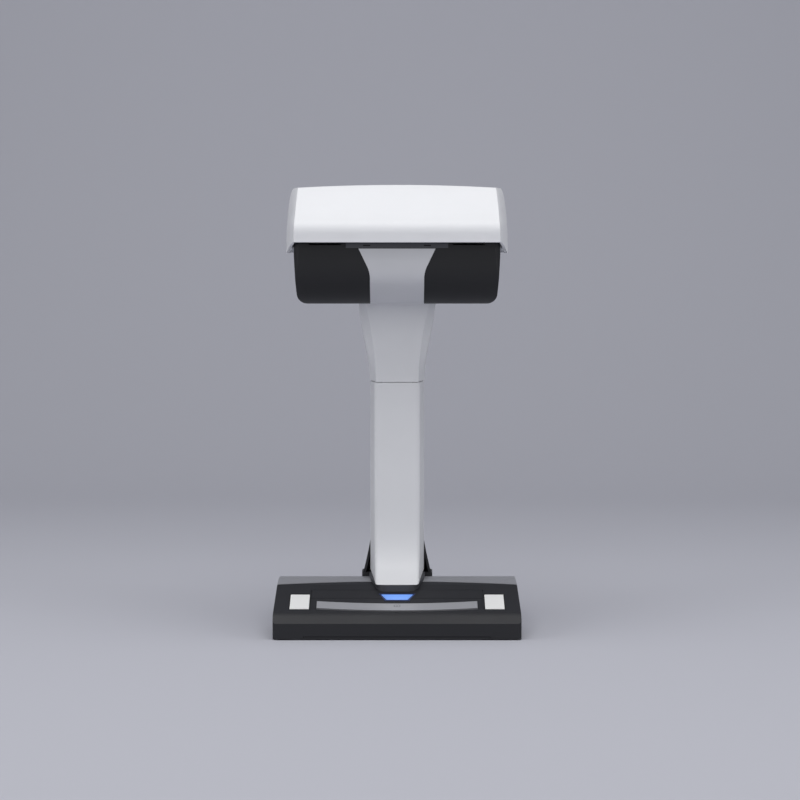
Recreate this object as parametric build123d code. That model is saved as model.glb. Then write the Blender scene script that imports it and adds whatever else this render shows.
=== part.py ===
from build123d import *
import math
import os

# Overhead book scanner: a heavy base with a sloping control panel, a column,
# and a head whose scan unit swings forward over the page.
# Millimetres. +Z up, the front faces -Y, origin on the table under the middle.

# ---- driving dimensions -------------------------------------------------
BASE_HALF_W = 105.0
BASE_HALF_D = 78.0
TOP_Z = 383.0
FOOT_GAP = 1.0              # the shell stands this high on its feet
WALL = 2.4                  # moulded wall
FIT = 0.3                   # clearance round parts that move

# base outline in side view
FRONT_EDGE_Z = 14.0
CHAMFER_Y = -70.6
CHAMFER_Z = 21.4
SLOPE = 0.291               # rise of the control panel per mm
SLOPE_END_Y = -15.0
CREST_Y = 12.0
CREST_Z = 41.3
REAR_Z = 24.0
SEAM_SIDE_Y = -17.5         # joint between front and rear covers, at the sides
SEAM_MID_Y = -6.5          # and in the middle
SEAM_STEP = 0.4             # the rear cover stands this proud at the joint
TRAY_TOP_Z = 3.0
TRAY_LIP_HALF_W = 79.0

# control panel
PANEL_HALF_W = 73.5
TROUGH_REAR_Y = -41.5
TROUGH_FRONT_DROP = 1.6
BAR_HALF_W = 68.4
BAR_END_FRONT_Y = -60.2
BAR_END_REAR_Y = -47.1
BAR_BULGE = 4.5
STOP_REAR_Y = -34.7
STOP_FRONT_Y = -44.5
STOP_REAR_HALF = 13.6
STOP_FRONT_HALF = 8.8
PAD_X = (74.9, 91.2)
PAD_Y = (-62.0, -34.7)
BOARD_DEPTH = 9.0           # button board under the panel, square to it
SWITCH_X = 52.0

# column and neck
COL_SPLIT_Y = 24.0          # front covers end here, rear cover begins
COL_HALF_W = 23.6
COL_FRONT_Y = 2.0
COL_REAR_Y = 46.0
FOOT_REACH = 30.0           # how far the front cover's foot sweeps forward
FOOT_FALL = 14.4            # height over which the sweep dies away
NECK_Z = 212.0
COLLAR_Z = 39.0             # collar top at its front edge
COLLAR_SLOPE = 0.12
SPINE_HALF_W = 13.0
SPINE_WEB_Y = (36.0, 38.0)
FRAME_WEB_Y = (38.0, 40.0)

# head
AXIS_Y = -22.0              # swing axis runs along X through here
AXIS_Z = 332.0
UNIT_R = 50.5               # scan unit's swept radius
POCKET_R = 52.0             # fixed parts stay outside this
HEAD_LOW_Z = 325.0
WING_REACH = 54.0           # from the front edge back to the wing's full width
PLATE_X = (88.0, 90.0)      # side plates of the head frame
UNIT_HALF_W = 87.0

# swing drive
MODULE = 0.6
FIXED_TEETH = 72
WHEEL_TEETH = 48
PINION_TEETH = 12
PRESSURE_DEG = 25.0
TOOTH_THIN = 0.10           # taken off each tooth for running clearance
REDUCTION_DEG = -20.0       # direction of the reduction gear seen from the axis
MOTOR_DEG = -116.0          # direction of the motor seen from the reduction gear
MESH_X = (73.3, 76.7)       # fixed gear and the small reduction pinion
WHEEL_X = (77.7, 80.7)      # large reduction wheel and the motor pinion
PIVOT_R = 5.0
BUSH_R = 8.0
RUN_CLEAR = 0.05

# underside and rear sockets
TRAY_SCREWS = [(-88, -66), (88, -66), (-84, 8), (84, 8), (-64, 64), (64, 64)]
FEET = [(-90, -46), (90, -46), (-86, 42), (86, 42)]
FOOT_R = 7.0
USB_X = 40.0
DC_X = 18.0
BOARD_X = (-30.0, 56.0)
BOARD_Y = (46.0, 73.0)
BOARD_Z = (7.4, 9.0)
BALLAST_Z = (TRAY_TOP_Z, 6.0)
SPINE_FOOT_Z = (6.0, 9.0)
LOCK_X = (-52.0, -45.0)
LOCK_Z = (10.5, 13.5)
FRAME_SCREWS = [(-8.0, 304.0), (8.0, 304.0), (-8.0, 320.0), (8.0, 320.0)]
UNIT_SPLIT_Y = AXIS_Y + 13.0
UNIT_SCREW_X = (-66.0, 66.0)
UNIT_SCREW_Z = AXIS_Z - 4.0
SWITCH_SPOTS = [(-SWITCH_X, -5.2), (SWITCH_X, -5.2), (0.0, 9.6)]
FLANGE = (-3.9, -2.8)       # button flanges, measured square from the panel
PLUNGER = (-6.4, -3.9)      # plungers, from inside the switch to the flange

SLOPE_ANGLE = math.atan(SLOPE)
SLOPE_COS = math.cos(SLOPE_ANGLE)
SLOPE_SIN = math.sin(SLOPE_ANGLE)
CENTRE_FIXED = MODULE * (FIXED_TEETH + PINION_TEETH) / 2
CENTRE_WHEEL = MODULE * (WHEEL_TEETH + PINION_TEETH) / 2
REDUCTION_AT = (
    AXIS_Y + CENTRE_FIXED * math.cos(math.radians(REDUCTION_DEG)),
    AXIS_Z + CENTRE_FIXED * math.sin(math.radians(REDUCTION_DEG)),
)
MOTOR_AT = (
    REDUCTION_AT[0] + CENTRE_WHEEL * math.cos(math.radians(MOTOR_DEG)),
    REDUCTION_AT[1] + CENTRE_WHEEL * math.sin(math.radians(MOTOR_DEG)),
)


# ---- helpers ------------------------------------------------------------
def block(x, y, z):
    """Box from its low and high limits along each axis."""
    size = Box(x[1] - x[0], y[1] - y[0], z[1] - z[0])
    return Pos((x[0] + x[1]) / 2, (y[0] + y[1]) / 2, (z[0] + z[1]) / 2) * size


def outline(points, radii=None, inset=0.0):
    """Closed polygon face; radii maps a point's index to its corner radius."""
    face = make_face(Polyline(*points, close=True))
    for index, radius in (radii or {}).items():
        target = Vector(*points[index])
        corner = min(face.vertices(), key=lambda v: (Vector(v.X, v.Y) - target).length)
        face = fillet(corner, radius)
    if inset:
        face = offset(face, amount=-inset, kind=Kind.INTERSECTION)
    return face


def side_prism(face, x):
    """Face drawn in Y,Z and pulled across X."""
    return Pos(x[0], 0, 0) * extrude(Plane.YZ * face, amount=x[1] - x[0])


def front_prism(face, y):
    """Face drawn in X,Z and pulled along Y."""
    return Pos(0, y[1], 0) * extrude(Plane.XZ * face, amount=y[1] - y[0])


def plan_prism(face, z):
    """Face drawn in X,Y and pulled up Z."""
    return Pos(0, 0, z[0]) * extrude(Plane.XY * face, amount=z[1] - z[0])


def rod_x(radius, x, y, z):
    """Cylinder along X."""
    body = Rotation(0, 90, 0) * Cylinder(radius, x[1] - x[0])
    return Pos((x[0] + x[1]) / 2, y, z) * body


def rod_y(radius, y, x, z):
    """Cylinder along Y."""
    body = Rotation(90, 0, 0) * Cylinder(radius, y[1] - y[0])
    return Pos(x, (y[0] + y[1]) / 2, z) * body


def rod_z(radius, x, y, z):
    """Cylinder along Z."""
    return Pos(x, y, (z[0] + z[1]) / 2) * Cylinder(radius, z[1] - z[0])


def mirrored(points):
    """Points of the right half, with the left half added in reverse."""
    return points + [(-x, y) for x, y in reversed(points)]


def slope_z(y):
    """Height of the control panel's surface at depth y."""
    return CHAMFER_Z + SLOPE * (y - CHAMFER_Y)


def on_slope(y):
    """Plane lying on the control panel, centred on X at depth y."""
    return Plane(
        origin=(0, y, slope_z(y)),
        x_dir=(1, 0, 0),
        z_dir=(0, -SLOPE_SIN, SLOPE_COS),
    )


def slope_prism(face, depth):
    """Plan outline projected square to the panel, from depth[0] to depth[1]."""
    flat = Plane(origin=(0, 0, slope_z(0)), x_dir=(1, 0, 0), z_dir=(0, -SLOPE_SIN, SLOPE_COS))
    body = extrude(Plane.XY * scale(face, by=(1, 1 / SLOPE_COS, 1)), amount=depth[1] - depth[0])
    return flat * Pos(0, 0, depth[0]) * body


def write(node, shape):
    """One STEP file per named piece."""
    solids = shape.solids()
    if len(solids) > 1:
        export_step(Compound(children=list(solids)), f"parts/{node}.step")
    else:
        export_step(solids[0], f"parts/{node}.step")


# ---- base ---------------------------------------------------------------
def base_side(inset=0.0, lift=0.0):
    """Side outline of the base."""
    points = [
        (-BASE_HALF_D, FOOT_GAP),
        (-BASE_HALF_D, FRONT_EDGE_Z),
        (CHAMFER_Y, CHAMFER_Z),
        (SLOPE_END_Y, slope_z(SLOPE_END_Y) + lift),
        (CREST_Y, CREST_Z + lift),
        (BASE_HALF_D, REAR_Z + lift),
        (BASE_HALF_D, FOOT_GAP),
    ]
    return outline(points, {4: 70.0, 2: 12.0, 5: 4.0}, inset)


def base_plan(inset=0.0):
    """Plan outline of the base, narrowing to well rounded rear corners."""
    right = [
        (BASE_HALF_W, -BASE_HALF_D),
        (BASE_HALF_W - 1.0, -20.0),
        (BASE_HALF_W - 2.0, CREST_Y),
        (BASE_HALF_W - 3.0, BASE_HALF_D),
    ]
    return outline(mirrored(right), {0: 3.0, 7: 3.0, 3: 25.0, 4: 25.0}, inset)


def base_block(inset=0.0, lift=0.0):
    """Whole base volume, inset evenly on every side."""
    tall = plan_prism(base_plan(inset), (0.0, 60.0))
    return side_prism(base_side(inset, lift), (-BASE_HALF_W, BASE_HALF_W)) & tall


def base_hollow(lift=0.0):
    """Space inside the base, open below."""
    return base_block(WALL, lift) + plan_prism(base_plan(WALL), (-1.0, 6.0))


def front_zone(gap=0.0):
    """Everything in front of the curved joint between the base covers."""
    edge = BASE_HALF_W + 10.0
    arc = ThreePointArc(
        (-edge, SEAM_SIDE_Y - gap), (0, SEAM_MID_Y - gap), (edge, SEAM_SIDE_Y - gap)
    )
    rim = Polyline((edge, SEAM_SIDE_Y - gap), (edge, -100), (-edge, -100), (-edge, SEAM_SIDE_Y - gap))
    return plan_prism(make_face(arc + rim), (-5.0, 80.0))


def bar_plan(grow=0.0):
    """Plan outline of the long scan button, bowed towards the front."""
    half = BAR_HALF_W + grow
    front = BAR_END_FRONT_Y - grow
    rear = BAR_END_REAR_Y + grow
    lines = ThreePointArc((-half, front), (0, front - BAR_BULGE), (half, front))
    lines += Line((half, front), (half, rear))
    lines += ThreePointArc((half, rear), (0, rear - BAR_BULGE), (-half, rear))
    lines += Line((-half, rear), (-half, front))
    return make_face(lines)


def stop_plan(grow=0.0):
    """Plan outline of the stop button, wider at the rear."""
    right = [
        (STOP_FRONT_HALF + grow, STOP_FRONT_Y - grow),
        (STOP_REAR_HALF + grow * 1.3, STOP_REAR_Y + grow),
    ]
    return outline(mirrored(right))


def trough():
    """Space cut out round the scan button: a steeper facet behind a front wall."""
    rear = TROUGH_REAR_Y
    front = BAR_END_FRONT_Y - BAR_BULGE - 2.0
    wedge = outline([
        (rear, slope_z(rear)),
        (front, slope_z(front) - TROUGH_FRONT_DROP),
        (front, slope_z(front) + 9.0),
        (rear, slope_z(rear) + 9.0),
    ])
    half = PANEL_HALF_W
    edge = BAR_END_FRONT_Y - 1.6
    lines = ThreePointArc((-half, edge), (0, edge - BAR_BULGE), (half, edge))
    lines += Polyline((half, edge), (half, rear), (-half, rear), (-half, edge))
    return side_prism(wedge, (-half, half)) & plan_prism(make_face(lines), (0.0, 60.0))


def pad_plan(side, grow=0.0):
    """Plan outline of one white reference pad."""
    low, high = PAD_X
    points = [
        (side * (low - grow), PAD_Y[0] - grow),
        (side * (high + grow), PAD_Y[0] - grow),
        (side * (high + grow), PAD_Y[1] + grow),
        (side * (low - grow), PAD_Y[1] + grow),
    ]
    return outline(points)


def panel_plan(grow=0.0):
    """Plan outline of the control panel inlay behind the trough."""
    half = PANEL_HALF_W + grow
    return outline([
        (-half, TROUGH_REAR_Y - grow),
        (half, TROUGH_REAR_Y - grow),
        (half, -26.0 + grow),
        (-half, -26.0 + grow),
    ])


def column_mouth(grow=0.0):
    """Hole in the base covers for the column's foot."""
    return block((-15.0 - grow, 15.0 + grow), (-20.0 - grow, 44.0 + grow), (10.0, 70.0))


def base_top_cover():
    """Dark front cover of the base: walls, chamfer and sloping top."""
    shell = base_block() - base_hollow()
    shell = (shell & front_zone(0.15)) - trough() - column_mouth()
    shell -= slope_prism(bar_plan(FIT), (-9.0, 9.0))
    shell -= slope_prism(stop_plan(1.6), (-9.0, 9.0))
    shell -= slope_prism(panel_plan(0.4), (-1.3, 9.0))
    for side in (-1, 1):
        shell -= slope_prism(pad_plan(side, 0.7), (-1.5, 9.0))
    shell -= block((-TRAY_LIP_HALF_W, TRAY_LIP_HALF_W), (-80, -70), (-1, TRAY_TOP_Z + 0.1))
    shell -= on_slope(-68.6) * Box(0.7, 3.4, 1.0)
    for x, y in TRAY_SCREWS[:2]:
        shell += (rod_z(4.0, x, y, (TRAY_TOP_Z, 30)) & base_block(1.0)) - rod_z(
            1.3, x, y, (0, 14)
        )
    return shell


def control_panel():
    """Thin inlay on the slope with an opening for the stop button."""
    return slope_prism(panel_plan(), (-1.3, 0.0)) - slope_prism(stop_plan(1.6), (-9.0, 9.0))


def base_rear_cover():
    """Grey rear cover of the base with its rear wall and sockets' openings."""
    shell = base_block(0.0, SEAM_STEP) - base_hollow(SEAM_STEP)
    shell = (shell - front_zone(-0.15)) - column_mouth()
    shell -= block(*usb_space(0.3))
    shell -= block(*dc_space(0.3))
    shell -= block(LOCK_X, (70, 80), LOCK_Z)
    for x in (-4, -3, -2, -1, 0, 1, 2, 3, 4):
        vent = block((x * 9.0 - 2.2, x * 9.0 + 2.2), (50, 51.8), (10, 60))
        shell -= vent
    for x, y in TRAY_SCREWS[2:]:
        post = rod_z(4.0, x, y, (TRAY_TOP_Z, 45)) & base_block(1.0, SEAM_STEP)
        shell += post - rod_z(1.3, x, y, (0, 14))
    return shell


def usb_space(grow=0.0):
    """Limits of the USB socket's body at the rear wall."""
    x = (USB_X - 6.0 - grow, USB_X + 6.0 + grow)
    return x, (62.0, 78.0), (BOARD_Z[1] - grow, BOARD_Z[1] + 10.8 + grow)


def dc_space(grow=0.0):
    """Limits of the DC inlet's body at the rear wall."""
    x = (DC_X - 4.5 - grow, DC_X + 4.5 + grow)
    return x, (64.0, 78.0), (BOARD_Z[1] - grow, BOARD_Z[1] + 11.0 + grow)


def base_bottom_tray():
    """Floor of the base; its front lip shows under the top cover."""
    plate = plan_prism(base_plan(WALL + 0.1), (FOOT_GAP, TRAY_TOP_Z))
    lip = block((-TRAY_LIP_HALF_W + 0.3, TRAY_LIP_HALF_W - 0.3), (-77.8, -72), (FOOT_GAP, 2.7))
    plate += lip
    for x, y in FEET:
        plate -= rod_z(FOOT_R, x, y, (0, 1.8))
    for x, y in TRAY_SCREWS:
        plate -= rod_z(3.0, x, y, (0, 2.0)) + rod_z(1.6, x, y, (0, 5))
    for row in range(6):
        y = 14.0 + row * 6.0
        plate -= block((-60, -30), (y, y + 1.6), (0, 5))
    for x in (BOARD_X[0] + 4, BOARD_X[1] - 4):
        plate += rod_z(2.6, x, BOARD_Y[0] + 4, (TRAY_TOP_Z, BOARD_Z[0]))
    return plate


def ballast_plate():
    """Steel plate that keeps the base down under the overhanging head."""
    plate = block((-94, 94), (-54, 36), BALLAST_Z) - block((-62, -28), (10, 40), (0, 9))
    for x, y in TRAY_SCREWS[2:4]:
        plate -= rod_z(5.0, x, y, (0, 9))
    for x, y in spine_foot_holes():
        plate -= rod_z(1.6, x, y, (0, 9))
    return plate


def rubber_feet():
    """Four soft feet in the tray's recesses."""
    feet = [rod_z(FOOT_R, x, y, (0, 1.8)) for x, y in FEET]
    return Compound(children=[chamfer(f.faces().sort_by(Axis.Z)[0].edges(), 0.4) for f in feet])


def screw_down(x, y, head_z, tip_z, head_r=2.8, shank_r=1.3):
    """Pan screw put in from below, head at the bottom."""
    return rod_z(head_r, x, y, (head_z - 1.0, head_z)) + rod_z(shank_r, x, y, (head_z, tip_z))


def tray_screws():
    """Screws that hold the tray to the posts of both covers."""
    return Compound(children=[screw_down(x, y, 2.0, 12.0) for x, y in TRAY_SCREWS])


def white_reference(side):
    """White pad that the scan line reads beside the control panel."""
    pad = slope_prism(pad_plan(side), (-1.5, 0.15))
    return chamfer(pad.faces().sort_by(Axis.Z)[-1].edges(), 0.3)


def at_board():
    """Plane of the button board's top, under the scan button."""
    return on_slope(-49.0) * Pos(0, 0, -BOARD_DEPTH)


def button_board():
    """Circuit board under the panel, parallel to it."""
    return at_board() * Pos(0, 0, -0.8) * Box(130, 26, 1.6)




def button_switches():
    """Three tact switches; each has a well for its button's plunger."""
    body = Box(6, 6, 3.4) - Pos(0, 0, 0.8) * Cylinder(1.9, 2.0)
    return Compound(children=[at_board() * Pos(x, y, 1.7) * body for x, y in SWITCH_SPOTS])




def plungers(spots):
    """Small pins between a button's flange and its switches."""
    length = PLUNGER[1] - PLUNGER[0]
    middle = (PLUNGER[1] + PLUNGER[0]) / 2 + BOARD_DEPTH
    return [at_board() * Pos(x, y, middle) * Cylinder(1.4, length) for x, y in spots]


def scan_button():
    """Long silver bar with a flange that keeps it under the cover."""
    bar = slope_prism(bar_plan(), (FLANGE[1], 0.25))
    bar = chamfer(bar.faces().sort_by(Axis.Z)[-1].edges(), 0.5)
    return bar + slope_prism(bar_plan(1.2), FLANGE)


def stop_button():
    """Lit button behind the scan bar."""
    button = slope_prism(stop_plan(), (FLANGE[1], 0.3))
    button = chamfer(button.faces().sort_by(Axis.Z)[-1].edges(), 0.4)
    return button + slope_prism(outline([(-13, -45.2), (13, -45.2), (13, -33.6), (-13, -33.6)]), FLANGE)


def status_light_guide():
    """Dark blue rim that carries the status light round the stop button."""
    return slope_prism(stop_plan(1.6), (-2.3, 0.1)) - slope_prism(stop_plan(FIT), (-9.0, 9.0))


def main_board():
    """Main circuit board on posts behind the column."""
    board = block(BOARD_X, BOARD_Y, BOARD_Z)
    return board


def main_board_parts():
    """Chips, capacitors and the harness connector on the main board."""
    top = BOARD_Z[1]
    parts = [
        block((-24, -10), (56, 70), (top, top + 1.8)),
        block((-6, 2), (58, 66), (top, top + 1.4)),
        block((-9, 9), (49.0, 53.0), (top, top + 4.5)),
        rod_z(3.2, 30.0, 52.0, (top, top + 7.0)),
        rod_z(2.6, 51.0, 54.0, (top, top + 5.0)),
    ]
    return Compound(children=parts)


def dc_inlet():
    """Power inlet with its centre pin."""
    body = block(*dc_space()) - rod_y(2.75, (69, 79), DC_X, BOARD_Z[1] + 5.5)
    return body + rod_y(1.0, (67, 77.2), DC_X, BOARD_Z[1] + 5.5)


def usb_socket():
    """Square data socket with its inner tongue."""
    x, y, z = usb_space()
    body = block(x, y, z)
    body -= block((x[0] + 1, x[1] - 1), (69, 79), (z[0] + 1, z[1] - 1.4))
    return body + block((USB_X - 2.6, USB_X + 2.6), (67, 76.5), (z[0] + 3.4, z[0] + 6.6))


def lock_slot_plate():
    """Steel plate behind the security lock's slot."""
    x = (LOCK_X[0] - 4, LOCK_X[1] + 4)
    plate = block(x, (73.6, 75.6), (LOCK_Z[0] - 3, LOCK_Z[1] + 3))
    return plate - block(LOCK_X, (70, 80), LOCK_Z)


# ---- column -------------------------------------------------------------
def collar_plan(grow=0.0):
    """Rounded front, wider behind."""
    right = [(16.4 + grow, -29.0 - grow), (23.0 + grow, -4.0), (24.5 + grow, 14.0)]
    return outline(mirrored(right), {0: 11.0, 5: 11.0})


def collar_top(y):
    """Height of the collar's sloping top."""
    return COLLAR_Z + COLLAR_SLOPE * (y + 29.0)


def below_collar_top(lift=0.0):
    """Everything under the collar's top."""
    return side_prism(
        outline([(-60, 0), (100, 0), (100, collar_top(100) + lift), (-60, collar_top(-60) + lift)]),
        (-60, 60),
    )


def column_collar():
    """Dark ring that the column's front cover stands in."""
    ring = plan_prism(collar_plan(), (20.0, 60.0)) & below_collar_top()
    ring -= base_block() & front_zone(0.0)
    ring -= base_block(0.0, SEAM_STEP) - front_zone(-0.1)
    ring -= block((-13, 13), (-19, 60), (20, 60))
    return ring


def column_front(z):
    """Depth of the front cover's face: upright above, sweeping forward at the foot."""
    return COL_FRONT_Y - FOOT_REACH * math.exp(-(z - COLLAR_Z) / FOOT_FALL)


def column_section(z, inset):
    """Section of the front cover: rounded front corners, sides splaying rearwards."""
    y = column_front(z) + inset
    half = 19.7 - 0.045 * (COL_FRONT_Y - y) - inset
    points = mirrored([(half, y), (COL_HALF_W - inset, COL_SPLIT_Y)])
    radius = 3.4 if inset == 0 else 1.6
    return Pos(0, 0, z) * outline(points, {0: radius, 3: radius})


def column_body(inset=0.0):
    """Front cover volume up to the neck."""
    levels = [35.0, 37.5, 40.0, 43.0, 47.0, 52.0, 58.0, 66.0, 76.0, 90.0, 108.0, 128.0, 148.0]
    levels += [168.0, 190.0, NECK_Z - 0.25]
    return loft([column_section(z, inset) for z in levels])


def column_front_cover():
    """White front of the column."""
    return column_body() - column_body(2.2) - below_collar_top(0.02)


NECK_LEVELS = [
    # height, front half width, rail half width, front y
    (212.0, 18.6, 19.8, 2.0),
    (222.0, 18.8, 21.6, 1.7),
    (232.0, 19.3, 24.0, 1.0),
    (242.0, 20.5, 26.4, 0.0),
    (254.0, 22.3, 29.0, -1.2),
    (266.0, 24.4, 31.2, -3.0),
    (278.0, 27.0, 32.8, -6.0),
    (290.0, 29.2, 33.6, -9.5),
    (312.0, 30.6, 33.9, -14.0),
]


def neck_half(z):
    """Half width where front and rear covers meet, flaring under the head."""
    rise = min(1.0, max(0.0, (z - NECK_Z + 6.0) / 84.0))
    return COL_HALF_W + 10.4 * rise * rise * (3.0 - 2.0 * rise)


def rear_half(z):
    """Half width of the rear cover's front edge: tucked in, with fins at the foot."""
    fin = max(0.0, (80.0 - z) / 38.0) ** 1.25
    return neck_half(z) - 1.2 + 7.6 * fin


def neck_section(level, inset, rear_y):
    """One horizontal section of the neck: flat front, bevelled rails, splayed sides."""
    z, front, rail, y = level
    points = mirrored([
        (front - inset * 0.6, y + inset),
        (rail - inset, y + 9.0 + inset * 0.4),
        (neck_half(z) - inset, rear_y),
    ])
    return Pos(0, 0, z) * outline(points, {0: 0.9, 5: 0.9, 1: 1.0, 4: 1.0})


def neck_body(inset=0.0, rear_y=COL_SPLIT_Y):
    """Neck volume, widening upwards."""
    return loft([neck_section(level, inset, rear_y) for level in NECK_LEVELS])


def pocket(radius=POCKET_R, half=120.0):
    """Swept space of the scan unit."""
    return rod_x(radius, (-half, half), AXIS_Y, AXIS_Z)


def neck_front_cover():
    """White upper cover, cut to clear the swinging unit."""
    shell = neck_body() - neck_body(2.2)
    sleeve = block((-60, 60), (-40, 60), (200, NECK_Z + 0.25))
    return (shell - sleeve - pocket() - block((-60, 60), (-60, 60), (304, 400))) & block(
        (-60, 60), (-60, COL_SPLIT_Y), (200, 310)
    )


def rear_section(z, inset):
    """One horizontal section of the rear cover, with rounded rear corners."""
    front = rear_half(z)
    points = mirrored([
        (front - inset, COL_SPLIT_Y + 0.15),
        (20.5 + (front - COL_HALF_W) * 0.6 - inset, COL_REAR_Y - inset),
    ])
    return Pos(0, 0, z) * outline(points, {1: 6.0 - inset, 2: 6.0 - inset})


def rear_body(inset=0.0):
    """Rear cover volume from the base to the head."""
    foot = [36.0, 43.0, 50.0, 57.0, 64.0, 72.0, 80.0, 92.0]
    shaft = [110.0 + 16.0 * step for step in range(6)]
    neck = [204.0 + 12.0 * step for step in range(9)]
    return loft([rear_section(z, inset) for z in foot + shaft + neck])


def column_rear_cover():
    """Dark rear of the column with flared fins and a flange at the foot."""
    flange_face = outline(mirrored([(31.0, 22.0), (31.0, 47.5)]), {0: 3.0, 1: 9.0, 2: 9.0, 3: 3.0})
    flange = plan_prism(flange_face, (30.0, 42.6)) - plan_prism(collar_plan(0.2), (0, 60))
    flange -= block((-24, 24), (0, COL_SPLIT_Y + 0.1), (0, 60))
    flange -= block((-18, 18), (0, 43.0), (0, 60))
    shell = (rear_body() - rear_body(2.2)) + flange
    shell -= base_block(0.0, SEAM_STEP)
    return shell - pocket() - block((-60, 60), (0, 60), (300, 400))


def spine_foot_holes():
    """Screw places in the spine's foot plate."""
    return [(x, y) for x in (-19.0, 19.0) for y in (14.0, 32.0)]


def column_spine():
    """Folded steel channel that carries the head."""
    half = SPINE_HALF_W
    spine = block((-half, half), SPINE_WEB_Y, (SPINE_FOOT_Z[1], 330.0))
    for side in (-1, 1):
        x = sorted((side * half, side * (half - 2.0)))
        spine += block(x, (18.0, SPINE_WEB_Y[1]), (SPINE_FOOT_Z[1], 330.0))
    spine -= pocket(54.5)
    foot = block((-24, 24), (8, 38), SPINE_FOOT_Z)
    for x, y in spine_foot_holes():
        foot -= rod_z(1.6, x, y, (0, 20))
    spine += foot
    for x, z in FRAME_SCREWS:
        spine -= rod_y(1.6, (30, 45), x, z)
    return spine


def column_screws():
    """Screws from the spine's foot into the ballast plate."""
    screws = []
    for x, y in spine_foot_holes():
        head = rod_z(3.0, x, y, (SPINE_FOOT_Z[1], SPINE_FOOT_Z[1] + 1.8))
        screws.append(head + rod_z(1.6, x, y, (3.2, SPINE_FOOT_Z[1])))
    return Compound(children=screws)


def head_harness():
    """Flat cable clipped behind the spine, from the main board to the head."""
    path = FilletPolyline((51.0, 13.5), (51.0, 18.0), (42.0, 27.0), (42.0, 338.0), radius=5.0)
    strip = Plane.YZ * trace(path, line_width=0.9)
    return extrude(strip, amount=7.0, both=True)


# ---- head ---------------------------------------------------------------
CAP_LEVELS = [
    # height, front y, crease half width, wing half width, rear y
    (323.0, -76.0, 86.4, 95.1, 50.0),
    (334.0, -76.0, 86.4, 94.8, 50.0),
    (343.0, -76.0, 86.2, 94.5, 49.8),
    (348.5, -74.8, 86.0, 94.2, 49.5),
    (354.0, -70.2, 85.7, 94.0, 49.0),
    (362.0, -62.4, 85.3, 93.6, 47.8),
    (370.0, -54.4, 84.8, 92.9, 45.6),
    (376.0, -48.2, 84.3, 92.0, 42.2),
    (380.0, -43.8, 83.9, 90.4, 38.2),
    (382.2, -41.0, 83.6, 88.6, 35.2),
    (384.0, -38.5, 83.2, 86.6, 33.8),
]


def cap_section(level, inset):
    """Plan section of the cap: straight front, bulging wings, rounded rear."""
    z, front, crease, wing, rear = level
    front += inset
    crease -= inset * 0.6
    wing -= inset
    rear -= inset
    radius = 14.0 - inset
    right = Spline(
        (crease, front),
        (crease + (wing - crease) * 0.62, front + 22.0),
        (wing, front + WING_REACH),
        tangents=[(0.42, 1), (0, 1)],
    )
    left = Spline(
        (-wing, front + WING_REACH),
        (-crease - (wing - crease) * 0.62, front + 22.0),
        (-crease, front),
        tangents=[(0, -1), (0.42, -1)],
    )
    turn = radius * (1 - math.sqrt(0.5))
    corner_r = ThreePointArc(
        (wing, rear - radius), (wing - turn, rear - turn), (wing - radius, rear)
    )
    corner_l = ThreePointArc(
        (-wing + radius, rear), (-wing + turn, rear - turn), (-wing, rear - radius)
    )
    edges = [
        Line((-crease, front), (crease, front)),
        right,
        Line(right @ 1, (wing, rear - radius)),
        corner_r,
        Line((wing - radius, rear), (-wing + radius, rear)),
        corner_l,
        Line((-wing, rear - radius), (-wing, front + WING_REACH)),
        left,
    ]
    return Pos(0, 0, z) * make_face(Curve() + edges)


def cap_body(inset=0.0):
    """Cap volume: lofted plan sections under a crowned top."""
    sections = [cap_section(level, inset) for level in CAP_LEVELS]
    body = loft(sections)
    crown = make_face(
        ThreePointArc((-100, TOP_Z - 3.4 - inset), (0, TOP_Z - inset), (100, TOP_Z - 3.4 - inset))
        + Polyline((100, TOP_Z - 3.4 - inset), (100, 300), (-100, 300), (-100, TOP_Z - 3.4 - inset))
    )
    return body & front_prism(crown, (-90, 60))


def cap_lower_edge():
    """Everything above the cap's lower edge, which dips from the lip to the rear."""
    edge = Spline((-80, 335.4), (-74, 334.6), (-52, 328.0), (-30, HEAD_LOW_Z), tangents=[(1, 0), (1, 0)])
    rest = Polyline(edge @ 1, (60, HEAD_LOW_Z), (60, 400), (-80, 400), edge @ 0)
    return side_prism(make_face(Curve() + [edge, rest]), (-110, 110))


def head_top_cover():
    """White cap over the head with a wing at each side."""
    shell = (cap_body() - cap_body(2.4)) & cap_lower_edge()
    half = UNIT_HALF_W - 0.6
    lip_ends = block((-half, half), (-90, -60), (330, 346))
    shell -= rod_x(UNIT_R + 0.5, (-half, half), AXIS_Y, AXIS_Z) & lip_ends
    for x in (-60, 60):
        shell += rod_y(3.4, (42, 46.5), x, 345.0) - rod_y(1.3, (30, 46), x, 345.0)
    return shell


def head_rear_cover():
    """Dark housing behind the scan unit, hollowed to its swing."""
    side = outline(
        [(18.0, 286.0), (46.0, 286.0), (48.4, 300.0), (48.4, 324.9), (26.0, 324.9), (18.0, 300.0)],
        {1: 5.0},
    )
    outer = side_prism(side, (-86, 86))
    corners = outline(mirrored([(86.0, 10.0), (86.0, 48.4)]), {1: 12.0, 2: 12.0})
    outer &= plan_prism(corners, (280, 330))
    wedge = outline([(0, 280), (86.5, 296.0), (86.5, 330), (-86.5, 330), (-86.5, 296.0)])
    outer &= front_prism(wedge, (0, 60))
    outer -= pocket()
    hollow = side_prism(offset(side, amount=-2.0), (-84, 84)) - pocket(POCKET_R + 2.0)
    hollow &= front_prism(offset(wedge, amount=-2.2), (0, 60))
    hollow &= plan_prism(offset(corners, amount=-2.2), (280, 330))
    cover = outer - hollow
    cover -= block((-82, 82), (31.0, 45.6), (318, 330))
    return cover - neck_and_spine()


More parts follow.
